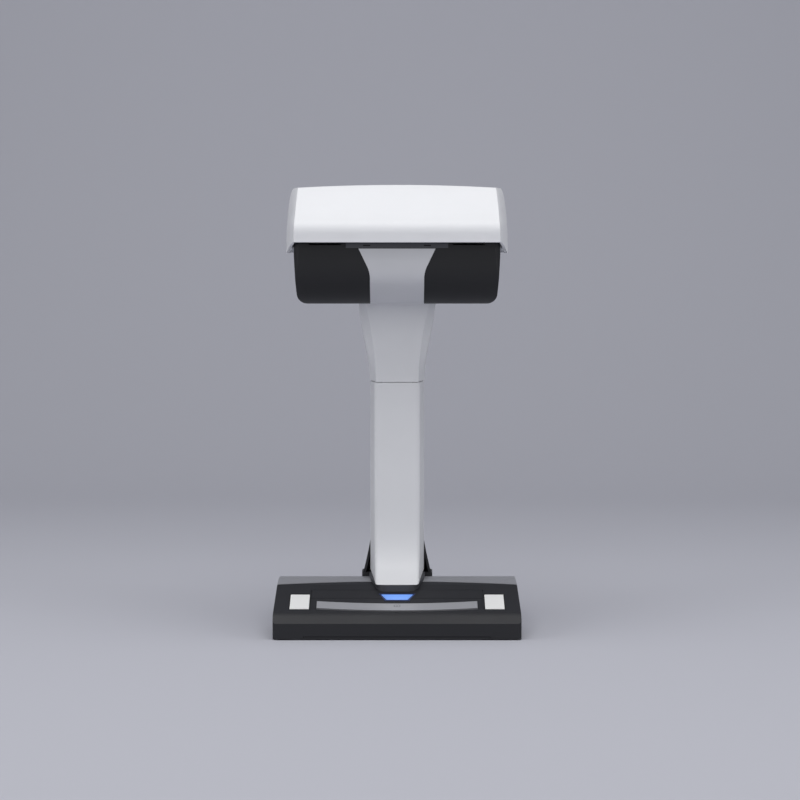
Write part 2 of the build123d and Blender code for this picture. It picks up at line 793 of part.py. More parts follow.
def neck_and_spine():
    """Space that the column takes out of the head's rear cover."""
    return block((-42, 42), (0, COL_REAR_Y + 0.2), (270, 300.2)) + block(
        (-42, 42), (0, COL_SPLIT_Y + 0.2), (290, 305)
    )


def head_frame():
    """Steel yoke: a rear web and two side plates with the pivot bosses."""
    low, high = PLATE_X
    web = block((-high, high), FRAME_WEB_Y, (330.0, 348.0))
    web += block((-80, 80), FRAME_WEB_Y, (300.0, 331.0))
    for x, z in FRAME_SCREWS:
        web -= rod_y(1.6, (30, 45), x, z)
    arm = outline(
        [(-30, 325.2), (FRAME_WEB_Y[1], 325.2), (FRAME_WEB_Y[1], 348.0), (6, 348.0), (-30, 342.0)],
        {0: 5.0, 3: 8.0, 4: 6.0},
    )
    for side in (-1, 1):
        x = sorted((side * low, side * high))
        web += side_prism(arm, x)
        web -= rod_x(PIVOT_R, (x[0] - 1, x[1] + 1), AXIS_Y, AXIS_Z)
    web -= block((-26, 26), (30, 50), (334, 346))
    for x in (-60, 60):
        web -= rod_y(1.6, (30, 45), x, 345.0)
    return web


def pivot(side, inner_x):
    """Hollow stub axle, pressed into the side plate, that carries the wiring."""
    x = sorted((side * inner_x, side * (PLATE_X[1] + 1.0)))
    flange = sorted((side * PLATE_X[1], side * (PLATE_X[1] + 1.0)))
    axle = rod_x(PIVOT_R, x, AXIS_Y, AXIS_Z) + rod_x(6.8, flange, AXIS_Y, AXIS_Z)
    return axle - rod_x(3.2, (x[0] - 1, x[1] + 1), AXIS_Y, AXIS_Z)


def relay_board():
    """Small board behind the frame that the flat cable plugs into."""
    board = block((-28, 28), (42.6, 44.2), (336, 360))
    socket = block((-9, 9), (40.4, 42.6), (338, 343))
    return board + socket


def frame_screws():
    """Screws that join the frame to the spine and the cap to the frame."""
    screws = []
    for x, z in FRAME_SCREWS:
        screws.append(rod_y(3.0, (40.0, 41.2), x, z) + rod_y(1.6, (34.0, 40.0), x, z))
    for x in (-60, 60):
        screws.append(rod_y(3.0, (36.6, 38.0), x, 345.0) + rod_y(1.3, (38.0, 45.5), x, 345.0))
    return Compound(children=screws)


# ---- gears --------------------------------------------------------------
def involute(angle):
    """Involute function."""
    return math.tan(angle) - angle


def gear_face(teeth, tooth_at_deg):
    """Spur gear outline with one tooth centred on the given direction."""
    pitch = MODULE * teeth / 2
    press = math.radians(PRESSURE_DEG)
    base = pitch * math.cos(press)
    tip = pitch + MODULE
    root = pitch - 1.2 * MODULE
    half = math.pi / (2 * teeth) - TOOTH_THIN / (2 * pitch)
    low = max(root, base)
    steps = 4
    flank = []
    for step in range(steps + 1):
        radius = low + (tip - low) * step / steps
        angle = half + involute(press) - involute(math.acos(min(1.0, base / radius)))
        flank.append((radius, angle))
    if root < low:
        flank.insert(0, (root, flank[0][1]))
    tooth = [(r, -a) for r, a in flank] + [(r, a) for r, a in reversed(flank)]
    points = []
    for index in range(teeth):
        centre = math.radians(tooth_at_deg) + index * 2 * math.pi / teeth
        points += [(r * math.cos(centre + a), r * math.sin(centre + a)) for r, a in tooth]
    return make_face(Polyline(*points, close=True))


def gear(teeth, tooth_at_deg, x, centre):
    """Spur gear along X, centred at a Y,Z place."""
    face = Plane.YZ * gear_face(teeth, tooth_at_deg)
    return Pos(x[0], centre[0], centre[1]) * extrude(face, amount=x[1] - x[0])


def fixed_gear():
    """Gear locked on the right pivot; the scan unit walks round it."""
    wheel = gear(FIXED_TEETH, REDUCTION_DEG, (MESH_X[0], MESH_X[1] - 0.4), (AXIS_Y, AXIS_Z))
    hub = rod_x(8.0, (MESH_X[0], MESH_X[1] + 1.5), AXIS_Y, AXIS_Z)
    return wheel + hub - rod_x(PIVOT_R, (60, 95), AXIS_Y, AXIS_Z)


def reduction_gear():
    """Large wheel and small pinion in one moulding."""
    gap_at = REDUCTION_DEG + 180.0 + 180.0 / PINION_TEETH
    pinion = gear(PINION_TEETH, gap_at, (MESH_X[0], WHEEL_X[0]), REDUCTION_AT)
    wheel = gear(WHEEL_TEETH, MOTOR_DEG, WHEEL_X, REDUCTION_AT)
    both = pinion + wheel
    return both - rod_x(1.5 + RUN_CLEAR, (60, 95), *REDUCTION_AT)


def motor_pinion():
    """Motor shaft with its small gear."""
    gap_at = MOTOR_DEG + 180.0 + 180.0 / PINION_TEETH
    small = gear(PINION_TEETH, gap_at, (WHEEL_X[0] - 0.4, WHEEL_X[1] + 0.6), MOTOR_AT)
    return small + rod_x(1.0, (62.0, WHEEL_X[1] + 0.6), *MOTOR_AT)


# ---- scan unit (swings) -------------------------------------------------
def polar(radius, degrees):
    """Point at an angle from straight down, turning towards the rear."""
    angle = math.radians(degrees)
    return AXIS_Y + radius * math.sin(angle), AXIS_Z - radius * math.cos(angle)


def unit_side(inset=0.0):
    """Side outline of the scan unit round the swing axis."""
    radius = UNIT_R - inset
    belly = ThreePointArc(polar(radius, -50), polar(radius, 15), polar(radius, 85))
    top = [(40.0, 20.0), (12.0, 35.5), (-25.0, 33.0), (-40.0, 20.0), (-44.8, 3.0)]
    top = [(AXIS_Y + u * (1 - inset / 42), AXIS_Z + w * (1 - inset / 34)) for u, w in top]
    back = Polyline(belly @ 1, *top)
    nose = Spline(back @ 1, belly @ 0, tangents=[(0.02, -1), (0.643, -0.766)])
    return make_face(Curve() + [belly, back, nose])


def unit_front(inset=0.0):
    """Front outline of the scan unit: slightly drafted ends, round lower corners."""
    right = [
        (84.4 - inset, AXIS_Z - UNIT_R + inset),
        (UNIT_HALF_W - inset, AXIS_Z - 8.0),
        (UNIT_HALF_W - inset, AXIS_Z),
        (UNIT_HALF_W - 5.4 - inset, AXIS_Z + 30.0),
        (UNIT_HALF_W - 6.6 - inset, AXIS_Z + 45.0),
    ]
    return outline(mirrored(right), {0: 9.0 - inset, 9: 9.0 - inset, 1: 40.0, 8: 40.0})


def unit_plan(inset=0.0):
    """Plan outline of the scan unit with rounded front corners."""
    half = UNIT_HALF_W - inset
    front = AXIS_Y - UNIT_R + 5.0 + inset
    return outline(mirrored([(half, front), (half, 40.0)]), {0: 8.0 - inset, 3: 8.0 - inset})


def unit_block(inset=0.0):
    """Scan unit volume."""
    body = side_prism(unit_side(inset), (-UNIT_HALF_W, UNIT_HALF_W))
    body &= front_prism(unit_front(inset), (-90, 60))
    return body & plan_prism(unit_plan(inset), (270, 400))




def unit_shell():
    """Scan unit's casing before it is divided."""
    shell = unit_block() - unit_block(WALL)
    shell -= rod_x(BUSH_R, (-100, 100), AXIS_Y, AXIS_Z)
    return shell


def fascia_outline(grow=0.0):
    """Funnel shape of the grey centre fascia, seen from the front."""
    right = [
        (22.8 + grow, 270.0),
        (22.8 + grow, 309.5),
        (32.4 + grow, 329.4 + grow),
    ]
    return outline(mirrored(right), {1: 25.0, 4: 25.0})


def fascia_space(grow=0.0):
    """Region in front of and under the unit that the fascia covers."""
    return front_prism(fascia_outline(grow), (-90, UNIT_SPLIT_Y - 1.0 + grow))


def window_space(grow=0.0):
    """Opening for the window in the unit's underside."""
    return block((-18 - grow, 18 + grow), (AXIS_Y - 8 - grow, AXIS_Y + 8 + grow), (270, 300))


def scan_front_shell():
    """Black front half of the scan unit, recessed for the fascia."""
    shell = unit_shell() & block((-120, 120), (-100, UNIT_SPLIT_Y - 0.1), (250, 400))
    shell -= fascia_space(0.25) - unit_block(1.1)
    shell -= window_space(0.8)
    for side in (-1, 1):
        x = sorted((side * 47.0, side * 74.0))
        shell -= block(x, (-80, AXIS_Y - 36), (AXIS_Z + 0.4, AXIS_Z + 1.8))
    return shell - block((22, 31), (-80, AXIS_Y - 36), (AXIS_Z + 1.0, AXIS_Z + 2.0))


def scan_rear_shell():
    """Black rear half of the scan unit."""
    shell = unit_shell() & block((-120, 120), (UNIT_SPLIT_Y + 0.1, 60), (250, 400))
    for x in UNIT_SCREW_X:
        shell += rod_y(4.0, (22.0, 27.5), x, UNIT_SCREW_Z) & unit_block(0.5)
        shell -= rod_y(2.8, (26.0, 35), x, UNIT_SCREW_Z) + rod_y(1.3, (20, 30), x, UNIT_SCREW_Z)
    return shell


def centre_fascia():
    """Grey funnel-shaped trim over the front and underside of the unit."""
    skin = unit_block(-0.25) - unit_block(1.1)
    return (skin & fascia_space()) - window_space(0.2)


def window_glass():
    """Clear window that the lens and lamp look through."""
    ring = rod_x(UNIT_R - 0.2, (-18, 18), AXIS_Y, AXIS_Z) - rod_x(UNIT_R - 1.8, (-19, 19), AXIS_Y, AXIS_Z)
    return ring & window_space()


def optics_chassis():
    """Moulded bracket that holds the lens, boards and motor in line."""
    y = (AXIS_Y - 14.0, AXIS_Y + 12.0)
    plate = block((-72, 72), y, (AXIS_Z - 10.0, AXIS_Z - 8.0))
    for side in (-1, 1):
        cheek = sorted((side * 70.0, side * 72.0))
        plate += block(cheek, y, (AXIS_Z - 40.0, AXIS_Z - 8.0))
    plate += block((-24, -22), y, (AXIS_Z - 36.0, AXIS_Z - 8.0))
    plate += block((22, 24), y, (AXIS_Z - 36.0, AXIS_Z - 8.0))
    for x in UNIT_SCREW_X:
        plate += block((x - 5, x + 5), (AXIS_Y + 10, 22.0), (AXIS_Z - 9.0, AXIS_Z))
        plate -= rod_y(1.3, (10, 24), x, UNIT_SCREW_Z)
    plate -= rod_z(7.0, 0.0, AXIS_Y, (300, 340))
    plate += motor_cheek()
    return plate - rod_x(1.5, (60, 80), *REDUCTION_AT)


def motor_cheek():
    """Plate at the right that carries the motor and the reduction axle."""
    face = outline(
        [(AXIS_Y - 14, AXIS_Z - 40), (2.0, AXIS_Z - 40), (12.0, AXIS_Z - 20), (12.0, AXIS_Z + 2),
         (AXIS_Y + 8, AXIS_Z + 2), (AXIS_Y + 8, AXIS_Z - 10), (AXIS_Y - 14, AXIS_Z - 10)],
        {2: 3.0, 3: 4.0},
    )
    return side_prism(face, (70.0, 72.0)) - rod_x(3.2, (60, 80), *MOTOR_AT) - rod_x(
        1.5, (60, 80), *REDUCTION_AT
    )


def lens_barrel():
    """Threaded tube for the scan lens."""
    tube = rod_z(7.0, 0.0, AXIS_Y, (AXIS_Z - 38.0, AXIS_Z - 4.0))
    tube += rod_z(8.2, 0.0, AXIS_Y, (AXIS_Z - 38.0, AXIS_Z - 30.0))
    return tube - rod_z(5.4, 0.0, AXIS_Y, (AXIS_Z - 40.0, AXIS_Z))


def lens_glass():
    """Front element of the lens."""
    ball = Pos(0, AXIS_Y, AXIS_Z - 22.0) * Sphere(15.6)
    return rod_z(5.4, 0.0, AXIS_Y, (AXIS_Z - 38.0, AXIS_Z - 34.0)) & ball


def sensor_board():
    """Board across the top of the lens."""
    return block((-34, 34), (AXIS_Y - 13, AXIS_Y + 13), (AXIS_Z - 1.6, AXIS_Z))


def line_sensor():
    """Line image sensor under its board."""
    return block((-22, 22), (AXIS_Y - 4, AXIS_Y + 4), (AXIS_Z - 4.0, AXIS_Z - 1.6))


def led_board():
    """Strip board with the lamp's light sources, in front of the lens."""
    return block((-17, 17), (AXIS_Y - 15.6, AXIS_Y - 14.0), (AXIS_Z - 42.0, AXIS_Z - 30.0))


def lamp_lens():
    """Half-round lens that spreads the lamp into a line."""
    rod = rod_x(2.6, (-16, 16), AXIS_Y - 11.4, AXIS_Z - 43.0)
    return rod


def bush(side):
    """Flanged bearing in the unit's end wall, running on the pivot."""
    inner = UNIT_HALF_W - 5.2
    tube = rod_x(BUSH_R, sorted((side * inner, side * (UNIT_HALF_W + 0.4))), AXIS_Y, AXIS_Z)
    tube += rod_x(9.4, sorted((side * inner, side * (inner + 1.0))), AXIS_Y, AXIS_Z)
    return tube - rod_x(PIVOT_R + RUN_CLEAR, (-100, 100), AXIS_Y, AXIS_Z)


def swing_motor():
    """Geared down motor can on its cheek plate."""
    can = rod_x(9.0, (44.0, 70.0), *MOTOR_AT) + rod_x(3.2, (70.0, 72.6), *MOTOR_AT)
    can += rod_x(3.0, (42.0, 44.0), *MOTOR_AT)
    return can - rod_x(1.0 + RUN_CLEAR, (61.5, 80.0), *MOTOR_AT)


def reduction_axle():
    """Pin for the reduction gear."""
    return rod_x(1.5, (70.0, WHEEL_X[1] + 1.6), *REDUCTION_AT)


def unit_screws():
    """Screws through the rear shell into the optics chassis."""
    screws = []
    for x in UNIT_SCREW_X:
        head = rod_y(2.6, (26.0, 27.4), x, UNIT_SCREW_Z)
        screws.append(head + rod_y(1.3, (13.0, 26.0), x, UNIT_SCREW_Z))
    return Compound(children=screws)


# ---- pieces -------------------------------------------------------------
def main():
    os.makedirs("parts", exist_ok=True)
    pieces = {
        "base_top_cover": base_top_cover(),
        "control_panel": control_panel(),
        "base_rear_cover": base_rear_cover(),
        "base_bottom_tray": base_bottom_tray(),
        "ballast_plate": ballast_plate(),
        "rubber_feet": rubber_feet(),
        "tray_screws": tray_screws(),
        "white_reference_left": white_reference(-1),
        "white_reference_right": white_reference(1),
        "button_board": button_board(),
        "button_switches": button_switches(),
        "status_light_guide": status_light_guide(),
        "scan_button": scan_button(),
        "scan_button_plungers": Compound(children=plungers(SWITCH_SPOTS[:2])),
        "stop_button": stop_button(),
        "stop_button_plunger": plungers(SWITCH_SPOTS[2:])[0],
        "main_board": main_board(),
        "main_board_parts": main_board_parts(),
        "dc_inlet": dc_inlet(),
        "usb_socket": usb_socket(),
        "lock_slot_plate": lock_slot_plate(),
        "column_collar": column_collar(),
        "column_front_cover": column_front_cover(),
        "neck_front_cover": neck_front_cover(),
        "column_rear_cover": column_rear_cover(),
        "column_spine": column_spine(),
        "column_screws": column_screws(),
        "head_harness": head_harness(),
        "head_top_cover": head_top_cover(),
        "head_rear_cover": head_rear_cover(),
        "head_frame": head_frame(),
        "left_pivot": pivot(-1, 79.7),
        "right_pivot": pivot(1, MESH_X[0]),
        "relay_board": relay_board(),
        "frame_screws": frame_screws(),
        "fixed_gear": fixed_gear(),
        "reduction_gear": reduction_gear(),
        "motor_pinion": motor_pinion(),
        "scan_front_shell": scan_front_shell(),
        "scan_rear_shell": scan_rear_shell(),
        "centre_fascia": centre_fascia(),
        "window_glass": window_glass(),
        "optics_chassis": optics_chassis(),
        "lens_barrel": lens_barrel(),
        "lens_glass": lens_glass(),
        "sensor_board": sensor_board(),
        "line_sensor": line_sensor(),
        "led_board": led_board(),
        "lamp_lens": lamp_lens(),
        "left_bush": bush(-1),
        "right_bush": bush(1),
        "swing_motor": swing_motor(),
        "reduction_axle": reduction_axle(),
        "scan_unit_screws": unit_screws(),
    }
    for node, shape in pieces.items():
        write(node, shape)


main()
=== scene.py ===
# %% [markdown]
# # Overhead book scanner
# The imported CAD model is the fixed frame: every piece keeps its place and size. This
# notebook dresses it. It sets the camera and the studio light, gives each moulding its
# finish, and builds the pieces that need better surfaces than a functional solid has.

# %% Load the frame
import math

import bmesh
import bpy
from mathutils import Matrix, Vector
from mathutils.bvhtree import BVHTree


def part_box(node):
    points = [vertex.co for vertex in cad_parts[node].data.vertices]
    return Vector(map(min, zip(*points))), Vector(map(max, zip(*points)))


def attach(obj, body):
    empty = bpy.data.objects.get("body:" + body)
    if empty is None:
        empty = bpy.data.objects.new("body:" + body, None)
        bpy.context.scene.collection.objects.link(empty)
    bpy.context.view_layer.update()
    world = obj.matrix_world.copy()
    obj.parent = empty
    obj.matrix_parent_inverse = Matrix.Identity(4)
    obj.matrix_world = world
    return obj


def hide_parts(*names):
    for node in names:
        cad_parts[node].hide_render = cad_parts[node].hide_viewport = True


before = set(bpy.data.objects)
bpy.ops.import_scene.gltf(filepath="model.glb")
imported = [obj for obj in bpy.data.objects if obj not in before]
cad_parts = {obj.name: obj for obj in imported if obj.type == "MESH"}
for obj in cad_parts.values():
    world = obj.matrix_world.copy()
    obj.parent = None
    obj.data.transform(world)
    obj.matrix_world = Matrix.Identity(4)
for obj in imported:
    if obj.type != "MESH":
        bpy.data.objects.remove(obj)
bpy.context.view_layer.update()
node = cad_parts
MM = 0.001
print("CAD nodes:", len(node))

# %% [markdown]
# ## Camera
# The view is square to the front, from a little above the head's lower edge, and tilted
# down by a few degrees. A long lens from two metres keeps the column's sides parallel.

# %% Camera
FRONT_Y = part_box("base_top_cover")[0].y
STAND_OFF = 2.0
EYE_HEIGHT = 0.360
TILT_DEG = 3.0
RISE = -0.078              # lens shift, so that the column's sides stay near parallel
LENS_MM = 107.8

camera_data = bpy.data.cameras.new("camera")
camera_data.lens = LENS_MM
camera_data.sensor_width = 36.0
camera_data.shift_y = RISE
camera = bpy.data.objects.new("camera", camera_data)
camera.location = (0.0025, FRONT_Y - STAND_OFF, EYE_HEIGHT)
camera.rotation_euler = (math.radians(90.0 - TILT_DEG), 0.0, 0.0)
bpy.context.scene.collection.objects.link(camera)
bpy.context.scene.camera = camera
print("camera at", tuple(round(v, 3) for v in camera.location))

# %% [markdown]
# ## Colour and node helpers
# Paint and plastic colours are written as sRGB hex, the way a colour chart gives them.
# Blender's shaders work in linear light, so one function does the conversion. One more
# function adds a shader node, sets its values and links its inputs.


# %% Colour and node helpers
def linear(hex_colour):
    """sRGB hex to a linear RGBA tuple."""
    channels = [int(hex_colour[i:i + 2], 16) / 255 for i in (1, 3, 5)]
    curve = [c / 12.92 if c <= 0.04045 else ((c + 0.055) / 1.055) ** 2.4 for c in channels]
    return (*curve, 1.0)


def add(tree, kind, settings=None, **links):
    """Add one node: settings are attributes or input values, links are sockets."""
    made = tree.nodes.new(kind)
    for name, value in (settings or {}).items():
        if hasattr(made, name):
            setattr(made, name, value)
        else:
            made.inputs[name].default_value = value
    for name, source in links.items():
        tree.links.new(source, made.inputs[name.replace("_", " ")])
    return made


def new_material(name):
    """Empty node material with its output and a Principled shader."""
    material = bpy.data.materials.new(name)
    material.use_nodes = True
    tree = material.node_tree
    shader = tree.nodes["Principled BSDF"]
    return material, tree, shader


def per_mm(size_mm):
    """Texture scale whose features are this many millimetres across."""
    return 1.0 / (size_mm * MM)


# %% [markdown]
# ## Moulded plastic
# Most of the scanner is ABS. The tool's spark-eroded surface leaves a fine pebble, which
# makes a broad soft highlight. One function makes every colour of it: a noise for the
# pebble as bump, a slower noise for the slight clouding of the sheen.


# %% Moulded plastic
def moulded(name, colour, rough, pebble_mm=0.55, depth_mm=0.012, cloud=0.05, metallic=0.0):
    """Textured injection moulding, with a pebble size and a depth in millimetres."""
    material, tree, shader = new_material(name)
    place = add(tree, "ShaderNodeTexCoord")
    pebble = add(tree, "ShaderNodeTexNoise", {"Scale": per_mm(pebble_mm), "Detail": 2.0},
                 Vector=place.outputs["Object"])
    slow = add(tree, "ShaderNodeTexNoise", {"Scale": per_mm(38.0), "Detail": 3.0},
               Vector=place.outputs["Object"])
    sheen = add(tree, "ShaderNodeMapRange",
                {"To Min": rough - cloud, "To Max": rough + cloud},
                Value=slow.outputs["Fac"])
    tint = add(tree, "ShaderNodeMixRGB", {"blend_type": "MIX"}, Fac=slow.outputs["Fac"])
    base = linear(colour)
    tint.inputs["Color1"].default_value = [c * 0.97 for c in base[:3]] + [1.0]
    tint.inputs["Color2"].default_value = [min(1.0, c * 1.03) for c in base[:3]] + [1.0]
    bump = add(tree, "ShaderNodeBump", {"Strength": 0.35, "Distance": depth_mm * MM},
               Height=pebble.outputs["Fac"])
    tree.links.new(tint.outputs["Color"], shader.inputs["Base Color"])
    tree.links.new(sheen.outputs["Result"], shader.inputs["Roughness"])
    tree.links.new(bump.outputs["Normal"], shader.inputs["Normal"])
    shader.inputs["IOR"].default_value = 1.53
    shader.inputs["Metallic"].default_value = metallic
    return material


white_abs = moulded("white ABS moulding", "#E4E5E8", 0.46)
black_abs = moulded("black ABS moulding", "#08090F", 0.60)
base_abs = moulded("charcoal ABS moulding", "#14151B", 0.58)
panel_film = moulded("matt charcoal inlay film", "#15161C", 0.62, 0.25, 0.004, 0.02)
# Painted highlight: slate stands for the black front shell where a facet catches the light.
brow_painted_highlight = moulded("black ABS with a painted highlight", "#45464C", 0.50)
collar_abs = moulded("graphite ABS moulding", "#3E3F44", 0.46)
nylon = moulded("glass-filled black nylon", "#1D1E20", 0.58, 0.35, 0.02)
housing_pbt = moulded("black PBT connector housing", "#141416", 0.42, 0.3, 0.006)
acetal = moulded("natural acetal gear moulding", "#E6E3D6", 0.34, 0.9, 0.004)
rubber = moulded("black rubber, soft moulded", "#1A1A1A", 0.82, 0.7, 0.03)
chip_epoxy = moulded("moulded chip epoxy", "#1B1C1E", 0.62, 0.2, 0.008)
grey_paint = moulded("grey metallic paint on ABS", "#9D9EA3", 0.42, 0.4, 0.006, 0.04, 0.30)
# Painted light: the centre fascia has the rear cover's grey metallic paint, made paler because
# it faces down in the head's shade.
shade_lifted_fascia_paint = moulded("pale metallic paint on ABS", "#CFD0D4", 0.44, 0.4, 0.006, 0.04, 0.20)
silver_paint = moulded("silver metallic paint on ABS", "#B2B3B7", 0.38, 0.4, 0.006, 0.04, 0.40)
pad_white = moulded("matt white reference film", "#EDEDEC", 0.75, 0.3, 0.004)
label_film = moulded("blank satin label film", "#A9ABAE", 0.40, 0.6, 0.003)
ceramic = moulded("white alumina ceramic", "#D9D8D2", 0.50, 0.3, 0.003)
printed_ink = moulded("dark pad-printed ink", "#55565C", 0.60, 0.2, 0.002)
# Painted shade: a dark sheet laid where the inside of a slot or louvre falls in shade.
slot_shade_painted = moulded("unlit inside of a slot", "#0B0B0D", 0.85, 0.5, 0.01)
print("plastics:", len(bpy.data.materials))

# %% [markdown]
# ## Metals
# The spine, the yoke and the ballast are folded zinc-plated sheet: rolling leaves fine
# lines one way, so the roughness and the bump are stretched along the sheet. Pins and
# cans are turned or drawn and brighter. One function makes them all from a colour, a
# roughness and the direction of the lines.


# %% Metals
def metal(name, colour, rough, line_mm=(0.25, 0.25, 14.0), depth_mm=0.004):
    """Bare or plated metal with working lines of the given size along x, y and z."""
    material, tree, shader = new_material(name)
    place = add(tree, "ShaderNodeTexCoord")
    stretch = add(tree, "ShaderNodeMapping", Vector=place.outputs["Object"])
    stretch.inputs["Scale"].default_value = [per_mm(size) for size in line_mm]
    lines = add(tree, "ShaderNodeTexNoise", {"Scale": 1.0, "Detail": 3.0},
                Vector=stretch.outputs["Vector"])
    sheen = add(tree, "ShaderNodeMapRange", {"To Min": rough - 0.06, "To Max": rough + 0.10},
                Value=lines.outputs["Fac"])
    bump = add(tree, "ShaderNodeBump", {"Strength": 0.3, "Distance": depth_mm * MM},
               Height=lines.outputs["Fac"])
    tree.links.new(sheen.outputs["Result"], shader.inputs["Roughness"])
    tree.links.new(bump.outputs["Normal"], shader.inputs["Normal"])
    shader.inputs["Base Color"].default_value = linear(colour)
    shader.inputs["Metallic"].default_value = 1.0
    return material


zinc_sheet = metal("zinc-plated steel sheet", "#B9BBBF", 0.34)
ground_steel = metal("ground steel pin", "#C4C6C9", 0.20, (14.0, 0.2, 0.2))
screw_steel = metal("black-oxide steel screw", "#3A3B3E", 0.36, (0.4, 0.4, 0.4))
nickel_shell = metal("nickel-plated socket shell", "#C9C6BE", 0.24, (0.3, 6.0, 0.3))
gold_contact = metal("gold-plated contact", "#D9B25A", 0.22, (0.2, 2.0, 0.2))
tinned_leg = metal("tinned copper leg", "#C7C8C6", 0.30, (0.2, 0.2, 0.2))
brass_gear = metal("turned brass pinion", "#C9A55C", 0.26, (3.0, 0.2, 0.2))
bronze_bush = metal("sintered bronze bush", "#8E6A42", 0.46, (0.35, 0.35, 0.35), 0.012)
motor_can = metal("nickel-plated drawn steel can", "#BFC1C3", 0.28, (8.0, 0.3, 0.3))
print("with metals:", len(bpy.data.materials))

# %% [markdown]
# ## Boards, ribbon, glass and light
# A circuit board is green solder mask over copper: under the mask the tracks run at right
# angles and stand a little proud, which a brick pattern a few millimetres across gives.
# The ribbon is grey PVC with round cores at 1.27 mm. The window is clear acrylic. The
# stop button is milky polycarbonate lit blue from below, the rim round it passes a little
# of the same light through dark blue plastic.


# %% Boards, ribbon, glass and light
def solder_mask():
    """Green mask over copper tracks."""
    material, tree, shader = new_material("green solder mask on FR4")
    place = add(tree, "ShaderNodeTexCoord")
    tracks = add(tree, "ShaderNodeTexBrick",
                 {"Scale": per_mm(6.0), "Mortar Size": 0.045, "Mortar Smooth": 0.2},
                 Vector=place.outputs["Object"])
    tracks.inputs["Color1"].default_value = linear("#1E5B38")
    tracks.inputs["Color2"].default_value = linear("#22633E")
    tracks.inputs["Mortar"].default_value = linear("#3B8A58")
    bump = add(tree, "ShaderNodeBump", {"Strength": 0.4, "Distance": 0.03 * MM},
               Height=tracks.outputs["Fac"])
    tree.links.new(tracks.outputs["Color"], shader.inputs["Base Color"])
    tree.links.new(bump.outputs["Normal"], shader.inputs["Normal"])
    shader.inputs["Roughness"].default_value = 0.32
    return material


def ribbon_pvc():
    """Grey ribbon cable whose cores show as ridges across x, with painted shade in the grooves
    and a painted highlight on the cores.
    """
    material, tree, shader = new_material("grey PVC ribbon cable")
    place = add(tree, "ShaderNodeTexCoord")
    cores = add(tree, "ShaderNodeTexWave",
                {"wave_type": "BANDS", "bands_direction": "X", "wave_profile": "SIN",
                 "Scale": per_mm(1.27) / 20.0, "Distortion": 0.0},
                Vector=place.outputs["Object"])
    # Painted shade and highlight: the grey is darker between the cores and lighter on their
    # tops.
    shade = add(tree, "ShaderNodeMixRGB", Fac=cores.outputs["Fac"])
    shade.inputs["Color1"].default_value = linear("#77797D")
    shade.inputs["Color2"].default_value = linear("#A3A5A9")
    bump = add(tree, "ShaderNodeBump", {"Strength": 0.8, "Distance": 0.3 * MM},
               Height=cores.outputs["Fac"])
    tree.links.new(shade.outputs["Color"], shader.inputs["Base Color"])
    tree.links.new(bump.outputs["Normal"], shader.inputs["Normal"])
    shader.inputs["Roughness"].default_value = 0.45
    return material


def clear(name, colour, rough, ior):
    """Clear plastic or glass with a faint unevenness of the polish."""
    material, tree, shader = new_material(name)
    place = add(tree, "ShaderNodeTexCoord")
    polish = add(tree, "ShaderNodeTexNoise", {"Scale": per_mm(9.0), "Detail": 2.0},
                 Vector=place.outputs["Object"])
    sheen = add(tree, "ShaderNodeMapRange", {"To Min": rough, "To Max": rough + 0.04},
                Value=polish.outputs["Fac"])
    tree.links.new(sheen.outputs["Result"], shader.inputs["Roughness"])
    shader.inputs["Base Color"].default_value = linear(colour)
    shader.inputs["Transmission Weight"].default_value = 1.0
    shader.inputs["IOR"].default_value = ior
    return material


def lit(name, colour, glow, strength, centre, reach_mm):
    """Milky plastic lit from behind, brightest over the lamp and fading outwards."""
    material, tree, shader = new_material(name)
    place = add(tree, "ShaderNodeTexCoord")
    local = add(tree, "ShaderNodeMapping", Vector=place.outputs["Object"])
    local.inputs["Location"].default_value = [-c * per_mm(reach_mm) for c in centre]
    local.inputs["Scale"].default_value = [per_mm(reach_mm)] * 3
    spot = add(tree, "ShaderNodeTexGradient", {"gradient_type": "SPHERICAL"},
               Vector=local.outputs["Vector"])
    power = add(tree, "ShaderNodeMapRange", {"To Min": strength * 0.8, "To Max": strength},
                Value=spot.outputs["Fac"])
    tree.links.new(power.outputs["Result"], shader.inputs["Emission Strength"])
    shader.inputs["Base Color"].default_value = linear(colour)
    shader.inputs["Emission Color"].default_value = linear(glow)
    shader.inputs["Roughness"].default_value = 0.35
    shader.inputs["IOR"].default_value = 1.58
    return material


def middle(name):
    """Centre of a CAD node's box, in metres."""
    low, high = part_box(name)
    return (low + high) / 2


fr4 = solder_mask()
ribbon = ribbon_pvc()
acrylic = clear("clear acrylic window", "#F6F8F8", 0.03, 1.49)
lens_coated = clear("coated optical glass", "#B9C4E8", 0.02, 1.62)
lamp_acrylic = clear("frosted acrylic light bar", "#F2F4F0", 0.30, 1.49)
lit_blue = lit("lit blue polycarbonate", "#3A6BB8", "#86B2FF", 0.62, middle("stop_button"), 16.0)
rim_blue = lit("dark blue polycarbonate rim", "#16264F", "#2A4CA8", 0.10,
               middle("stop_button"), 22.0)
print("all materials:", len(bpy.data.materials))

